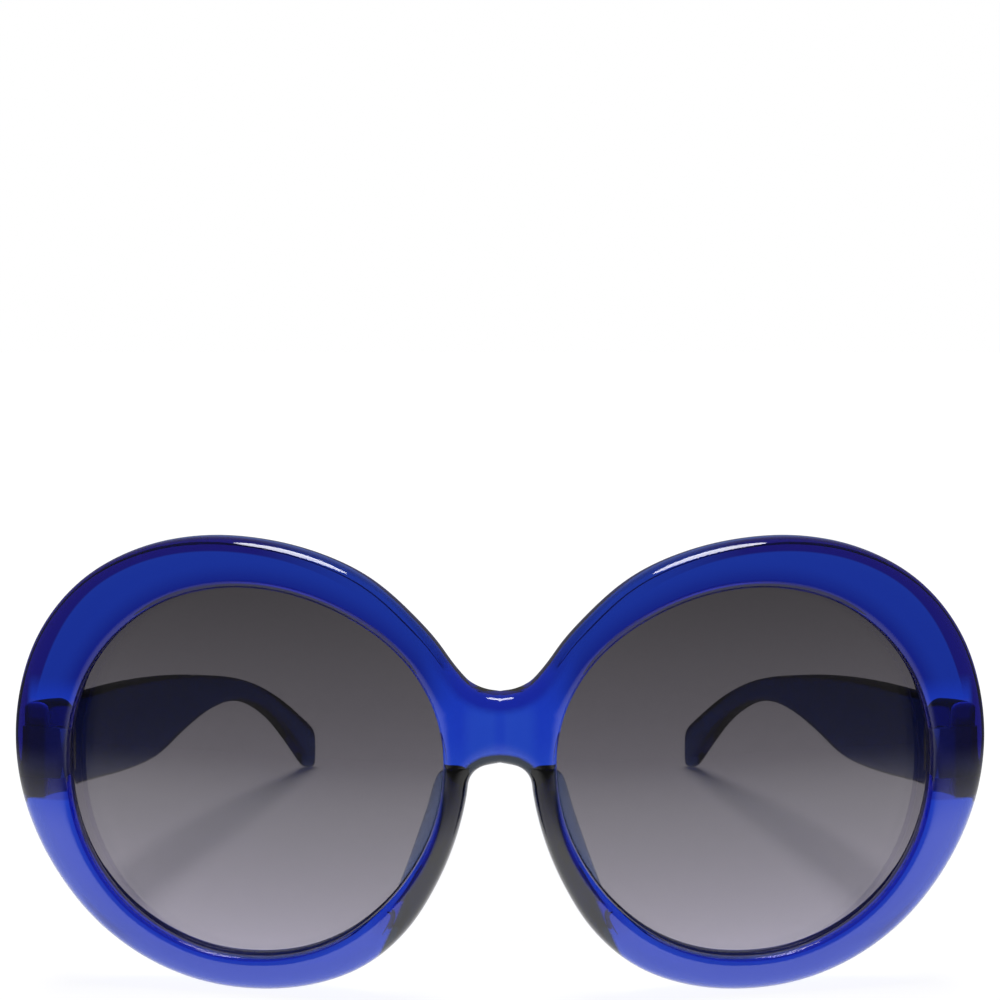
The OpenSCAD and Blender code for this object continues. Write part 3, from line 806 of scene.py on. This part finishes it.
def let_lamps_through(tree, shader, output, tint):
    """Lets light from the lamps pass, so that clear pieces throw light shadows."""
    clear = add(tree, "ShaderNodeBsdfTransparent", {"Color": tint})
    path = tree.nodes.new("ShaderNodeLightPath")
    mix = add(tree, "ShaderNodeMixShader", {
        "Fac": path.outputs["Is Shadow Ray"], 1: shader.outputs["BSDF"], 2: clear.outputs["BSDF"],
    })
    fill(tree, output, {"Surface": mix.outputs["Shader"]})


class RimPaintedShade:
    """Painted shade in the front's plastic by place, and how matt the lens walls are."""

    def __init__(self, tree, finish):
        self.tree = tree
        self.finish = finish
        spot = tree.nodes.new("ShaderNodeAttribute")
        spot.attribute_name = "rim_place"
        split = add(tree, "ShaderNodeSeparateColor", {"Color": spot.outputs["Color"]})
        self.face = split.outputs["Blue"]
        side, height = join(tree, "ABSOLUTE", part_of(tree, "X"), 0), part_of(tree, "Z")
        lean = join(tree, "MULTIPLY", join(tree, "MINIMUM", height, SLANT_TOP), SLANT)
        self.measures = {
            "edge": (split.outputs["Red"], PLACE_UNIT),
            "lens": (split.outputs["Green"], PLACE_UNIT),
            "side": (side, 1),
            "height": (height, 1),
            "slant": (join(tree, "ADD", side, lean), 1),
        }
        # Painted shade: the walls round the lenses take a near black tint, and a matt finish
        wall = ramp(tree, spot.outputs["Alpha"], *WALL_FADE, 0, 1)
        self.tint = blend(tree, wall, self.face_painted_shade(), finish.wall_painted_shade)
        self.matt = join(tree, "MULTIPLY", wall, finish.wall_rough)

    def product(self, shares):
        """The product of the shares."""
        whole = shares[0]
        for one in shares[1:]:
            whole = join(self.tree, "MULTIPLY", whole, one)
        return whole

    def fade(self, name, *more):
        """A tint's share: the product of its fades, and of more shares."""
        shares = []
        for measure, start, end, low, high in PAINTED_SHADE_FADES[name]:
            value, unit = self.measures[measure]
            shares.append(ramp(self.tree, value, start / unit, end / unit, low, high))
        return self.product([*shares, *more])

    def brow_painted_shade(self):
        """Painted shade on the upper rims, deeper beside the lenses, with a dark band along the
        edge.
        """
        tree, finish = self.tree, self.finish
        edge, height = self.measures["edge"][0], self.measures["height"][0]
        tint = blend(tree, self.fade("brow_lens"), finish.brow_lens_painted_shade, finish.brow_painted_shade)
        shift = ramp(tree, height, *BAND_HEIGHTS, *(k / PLACE_UNIT for k in BAND_SHIFTS))
        start, end = finish.band / PLACE_UNIT, (finish.band + BAND_SOFT) / PLACE_UNIT
        band = ramp(tree, join(tree, "SUBTRACT", edge, shift), start, end, 0, 1)
        band = join(tree, "MAXIMUM", band, self.fade("brow_end"))
        return blend(tree, band, finish.band_painted_shade, tint)

    def nose_painted_shade(self):
        """Painted shade on the rims beside the nose, with its own shade beside the lenses."""
        lens, unit = self.measures["lens"]
        height = self.measures["height"][0]
        shift = ramp(self.tree, height, *NOSE_LENS_HEIGHTS, 0, NOSE_LENS_SHIFT / unit)
        inner = join(self.tree, "ADD", lens, shift)
        inner = ramp(self.tree, inner, *(k / unit for k in NOSE_LENS_FADE), 0, 1)
        return blend(self.tree, inner, self.finish.nose_lens_painted_shade, self.finish.nose_painted_shade)

    def seat_painted_shade(self):
        """Painted shade on the rims before the hinges, with their outer edge and its foot."""
        edge = self.fade("seat_edge")
        tint = blend(self.tree, edge, self.finish.hinge_painted_shade, self.finish.hinge_edge_painted_shade)
        foot = self.product([edge, self.fade("seat_foot")])
        return blend(self.tree, foot, tint, self.finish.hinge_foot_painted_shade)

    def face_painted_shade(self):
        """Painted shade on the whole face, one zone over another, and the plain plastic behind it.
        """
        tree, finish = self.tree, self.finish
        tint = blend(tree, self.fade("bridge"), PLASTIC_TINT, finish.bridge_painted_shade)
        tint = blend(tree, self.fade("column"), tint, finish.column_painted_light)
        tint = blend(tree, self.fade("crest"), tint, finish.crest_painted_shade)
        tint = blend(tree, self.face, PLASTIC_TINT, tint)
        for name, over in (
            ("brow", self.brow_painted_shade()), ("nose", self.nose_painted_shade()), ("arch", finish.nose_painted_shade),
            ("seat", self.seat_painted_shade()), ("strip", finish.band_painted_shade),
        ):
            tint = blend(tree, self.fade(name, self.face), tint, over)
        return tint


def plastic_material(finish, name):
    """Clear moulded plastic that takes its blue from its depth, with painted shade in its colour:
    all over the temples, and by place on the front.
    """
    if name in bpy.data.materials:
        return bpy.data.materials[name]
    material, tree, output, shader = new_material(name)
    fill(tree, shader, {
        # The temples' colour is painted shade, for the dark surroundings they show
        "Base Color": finish.temple_painted_shade, "Transmission Weight": 1.0, "IOR": PLASTIC_IOR,
    })
    marks = add_wear(tree, shader, finish.plastic_rough, amount=0.012, depth=0.000001)
    shade = finish.temple_shade
    if name == FRONT_PLASTIC:
        # The front's colour is painted shade and light by place
        tints = RimPaintedShade(tree, finish)
        rough = join(tree, "ADD", marks.outputs["Roughness"], tints.matt)
        polish = ramp(tree, part_of(tree, "Z"), *POLISH_HEIGHTS, finish.polish, 0)
        fill(tree, shader, {"Base Color": tints.tint, "Roughness": rough, "Coat Weight": polish})
        shade = FRONT_SHADE
    depth = add(tree, "ShaderNodeVolumeAbsorption", {
        "Color": finish.plastic, "Density": finish.density,
    })
    fill(tree, output, {"Volume": depth.outputs["Volume"]})
    let_lamps_through(tree, shader, output, shade)
    return material


def sawn_material(finish):
    """The matt sawn end of a temple, against the hinge."""
    name = "Sawn Blue Plastic"
    if name in bpy.data.materials:
        return bpy.data.materials[name]
    material, tree, output, shader = new_material(name)
    fill(tree, shader, {"Base Color": finish.sawn_tint})
    add_wear(tree, shader, roughness=0.5, amount=0.1, depth=0.00001)
    fill(tree, output, {"Surface": shader.outputs["BSDF"]})
    return material


def lens_material(lens, box):
    """Smoke grey that fades from its top to its bottom."""
    name = "Gradient Smoke Lens"
    if name in bpy.data.materials:
        return bpy.data.materials[name]
    material, tree, output, shader = new_material(name)
    span = (part_of(tree, "Z"), box[0][2], box[1][2])
    bottom = power(tree, lens.bottom, ramp(tree, *span, 1, 0, smooth=False))
    top = power(tree, lens.top, ramp(tree, *span, 0, 1, smooth=False))
    tint = blend(tree, 1, bottom, top, "MULTIPLY")
    fill(tree, shader, {"Base Color": tint, "Transmission Weight": 1.0, "IOR": LENS_IOR})
    add_wear(tree, shader, roughness=0.01, amount=0.01, depth=0.000001)
    let_lamps_through(tree, shader, output, power(tree, tint, 0.5))
    return material


def steel_material(name, tint, roughness):
    """Steel with a fine grain and the marks of handling."""
    if name in bpy.data.materials:
        return bpy.data.materials[name]
    material, tree, output, shader = new_material(name)
    grain = noise(tree, object_place(tree), scale=900, detail=4)
    tone = blend(tree, grain, tuple(GRAIN_SHADE * c for c in tint), tint)
    fill(tree, shader, {"Base Color": tone, "Metallic": 1.0})
    add_wear(tree, shader, roughness, amount=0.15, depth=0.00001)
    fill(tree, output, {"Surface": shader.outputs["BSDF"]})
    return material


def make_shapes(scene):
    """The shapes of the front and of a temple from the scene's sizes."""
    front = FrontShape(scene.sunglasses_front, scene.sunglasses_lens)
    return front, TempleShape(scene.sunglasses_temple, front)


class SUNGLASSES_OT_front(bpy.types.Operator):
    """Builds the rims, the bridge and the nose pads"""

    bl_idname = "sunglasses.front"
    bl_label = "Front"

    def execute(self, context):
        front, _ = make_shapes(context.scene)
        plastic = plastic_material(context.scene.sunglasses_finish, FRONT_PLASTIC)
        finish_piece(
            front_mesh(front), "rims_and_bridge", "front", "front_frame", plastic,
            SMOOTH_LEVELS,
        )
        return {"FINISHED"}


class SUNGLASSES_OT_lenses(bpy.types.Operator):
    """Builds the two gradient lenses"""

    bl_idname = "sunglasses.lenses"
    bl_label = "Lenses"

    def execute(self, context):
        lens = context.scene.sunglasses_lens
        front, _ = make_shapes(context.scene)
        material = lens_material(lens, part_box("lens_left"))
        for side, sign in SIDES.items():
            finish_piece(
                lens_mesh(front, lens, sign), f"smoke_lens_{side}", "front",
                f"lens_{side}", material,
            )
        return {"FINISHED"}


class SUNGLASSES_OT_temples(bpy.types.Operator):
    """Builds the two temples"""

    bl_idname = "sunglasses.temples"
    bl_label = "Temples"

    def execute(self, context):
        _, temple = make_shapes(context.scene)
        plastic = plastic_material(context.scene.sunglasses_finish, TEMPLE_PLASTIC)
        for side, sign in SIDES.items():
            piece = finish_piece(
                temple_mesh(temple, sign), f"paddle_temple_{side}", f"temple_{side}",
                f"temple_{side}", plastic, SMOOTH_LEVELS,
            )
            piece.data.materials.append(sawn_material(context.scene.sunglasses_finish))
        return {"FINISHED"}


class SUNGLASSES_OT_hinges(bpy.types.Operator):
    """Gives the hinges and their screws their steel"""

    bl_idname = "sunglasses.hinges"
    bl_label = "Hinges"

    def execute(self, context):
        finish = context.scene.sunglasses_finish
        satin = steel_material("Satin Hinge Steel", tuple(finish.steel), roughness=0.28)
        bright = steel_material("Bright Screw Steel", tuple(finish.screw), roughness=0.16)
        for side in SIDES:
            for node, material in (
                (f"front_hinge_{side}", satin),
                (f"temple_hinge_{side}", satin),
                (f"hinge_screw_{side}", bright),
            ):
                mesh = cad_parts[node].data
                mesh.materials.clear()
                mesh.materials.append(material)
        return {"FINISHED"}


def room_light(world, dim):
    """A dim room, which stays plain white to the eye and through the glasses."""
    world.use_nodes = True
    tree = world.node_tree
    tree.nodes.clear()
    output = tree.nodes.new("ShaderNodeOutputWorld")
    path = tree.nodes.new("ShaderNodeLightPath")
    seen = join(
        tree, "MAXIMUM", path.outputs["Is Camera Ray"], path.outputs["Is Transmission Ray"]
    )
    strength = join(tree, "MAXIMUM", seen, dim)
    back = add(tree, "ShaderNodeBackground", {"Color": (1, 1, 1), "Strength": strength})
    fill(tree, output, {"Surface": back.outputs["Background"]})


def floor_light(tree, stage, side, away):
    """The table's colour and its own white: both leave shadows only behind the lenses."""
    edge = join(tree, "SUBTRACT", side, join(tree, "MULTIPLY", away, ZONE_SLOPE))
    zone = ramp(tree, edge, *ZONE_SIDE, 1, 0)
    zone = join(tree, "MULTIPLY", zone, ramp(tree, away, *ZONE_FRONT, 0, 1))
    zone = join(tree, "MULTIPLY", zone, ramp(tree, away, *ZONE_END, 1, 0))
    full = tuple(stage.floor_colour)
    tint = blend(tree, zone, tuple(stage.shadow_share * c for c in full), full)
    lift = 1 - stage.shadow_share + stage.floor_glow
    white = join(tree, "ADD", join(tree, "MULTIPLY", zone, stage.floor_glow - lift), lift)
    return tint, white


def floor_material(stage):
    """A white table that keeps the shadows, and ends in the dim room for what mirrors it."""
    material, tree, output, shader = new_material("White Table")
    path = tree.nodes.new("ShaderNodeLightPath")
    through, glossy = path.outputs["Is Transmission Ray"], path.outputs["Is Glossy Ray"]
    side = join(tree, "ABSOLUTE", part_of(tree, "X"), 0)
    away = join(tree, "SUBTRACT", part_of(tree, "Y"), CAD_BOX[0][1])
    tint, kept = floor_light(tree, stage, side, away)
    fill(tree, shader, {"Base Color": tint, "Roughness": 1.0, "Specular IOR Level": 0.0})
    seen = join(tree, "MAXIMUM", path.outputs["Is Camera Ray"], through)
    seen = join(tree, "MAXIMUM", seen, glossy)
    glow = add(tree, "ShaderNodeEmission", {"Strength": join(tree, "MULTIPLY", seen, kept)})
    white = add(tree, "ShaderNodeAddShader", {
        0: shader.outputs["BSDF"], 1: glow.outputs["Emission"],
    })
    room = add(tree, "ShaderNodeEmission", {"Strength": stage.room})
    aside = join(tree, "MAXIMUM", join(tree, "SUBTRACT", side, FRONT_BOX[1][0]), 0)
    squares = (join(tree, "POWER", measure, 2) for measure in (aside, away))
    reach = join(tree, "POWER", join(tree, "ADD", *squares), 0.5)
    far = ramp(tree, reach, stage.table_near, stage.table_far, 0, 1)
    mirrored = join(tree, "SUBTRACT", glossy, through)
    ended = add(tree, "ShaderNodeMixShader", {
        "Fac": join(tree, "MULTIPLY", far, mirrored), 1: white.outputs["Shader"],
        2: room.outputs["Emission"],
    })
    fill(tree, output, {"Surface": ended.outputs["Shader"]})
    return material


def add_sky(name, direction, spread, strength):
    """An even soft light from far away, which lights the whole table alike."""
    lamp = bpy.data.lights.new(name, "SUN")
    lamp.angle = spread
    lamp.energy = strength
    lamp_object = bpy.data.objects.new(name, lamp)
    lamp_object.rotation_euler = Vector(direction).to_track_quat("Z", "Y").to_euler()
    bpy.context.scene.collection.objects.link(lamp_object)


class SUNGLASSES_OT_stage(bpy.types.Operator):
    """Sets the white table, the soft light and the camera"""

    bl_idname = "sunglasses.stage"
    bl_label = "Stage"

    def execute(self, context):
        scene = context.scene
        stage = scene.sunglasses_stage
        bm = bmesh.new()
        bmesh.ops.create_grid(bm, x_segments=1, y_segments=1, size=stage.floor_half)
        mesh = bpy.data.meshes.new("white_table")
        bm.to_mesh(mesh)
        bm.free()
        table = bpy.data.objects.new("white_table", mesh)
        mesh.materials.append(floor_material(stage))
        scene.collection.objects.link(table)
        scene.world = bpy.data.worlds.new("White Room")
        room_light(scene.world, stage.room)
        add_sky(
            "overhead", direction=(0, 0.12, 1), spread=math.radians(30), strength=stage.key_strength
        )
        camera = bpy.data.cameras.new("front_view")
        camera.sensor_width = 36
        camera.lens = stage.focal
        camera.clip_start = 0.01
        camera.shift_y = stage.camera_shift
        view = bpy.data.objects.new("front_view", camera)
        view.location = (0, CAD_BOX[0][1] - stage.camera_distance, stage.camera_height)
        view.rotation_euler = (math.pi / 2, 0, 0)
        scene.collection.objects.link(view)
        scene.camera = view
        scene.view_settings.view_transform = "Standard"
        return {"FINISHED"}


class SUNGLASSES_PT_panel(bpy.types.Panel):
    """Lists the pieces of the sunglasses"""

    bl_label = "Round Sunglasses"
    bl_idname = "SUNGLASSES_PT_panel"
    bl_space_type = "VIEW_3D"
    bl_region_type = "UI"
    bl_category = "Eyewear"

    def draw(self, context):
        for operator in OPERATORS:
            self.layout.operator(operator.bl_idname)


OPERATORS = (
    SUNGLASSES_OT_front,
    SUNGLASSES_OT_lenses,
    SUNGLASSES_OT_temples,
    SUNGLASSES_OT_hinges,
    SUNGLASSES_OT_stage,
)
GROUPS = {
    "sunglasses_front": SunglassesFront,
    "sunglasses_lens": SunglassesLens,
    "sunglasses_temple": SunglassesTemple,
    "sunglasses_finish": SunglassesFinish,
    "sunglasses_stage": SunglassesStage,
}


def register():
    """Adds the sizes, the operators and the panel."""
    for group in GROUPS.values():
        bpy.utils.register_class(group)
    for name, group in GROUPS.items():
        setattr(bpy.types.Scene, name, bpy.props.PointerProperty(type=group))
    for operator in OPERATORS:
        bpy.utils.register_class(operator)
    bpy.utils.register_class(SUNGLASSES_PT_panel)


def unregister():
    """Takes them away again."""
    bpy.utils.unregister_class(SUNGLASSES_PT_panel)
    for operator in reversed(OPERATORS):
        bpy.utils.unregister_class(operator)
    for name in GROUPS:
        delattr(bpy.types.Scene, name)
    for group in reversed(GROUPS.values()):
        bpy.utils.unregister_class(group)


def main():
    """Builds every piece and the stage."""
    register()
    bpy.ops.sunglasses.front()
    bpy.ops.sunglasses.lenses()
    bpy.ops.sunglasses.temples()
    bpy.ops.sunglasses.hinges()
    bpy.ops.sunglasses.stage()


if __name__ == "__main__":
    main()
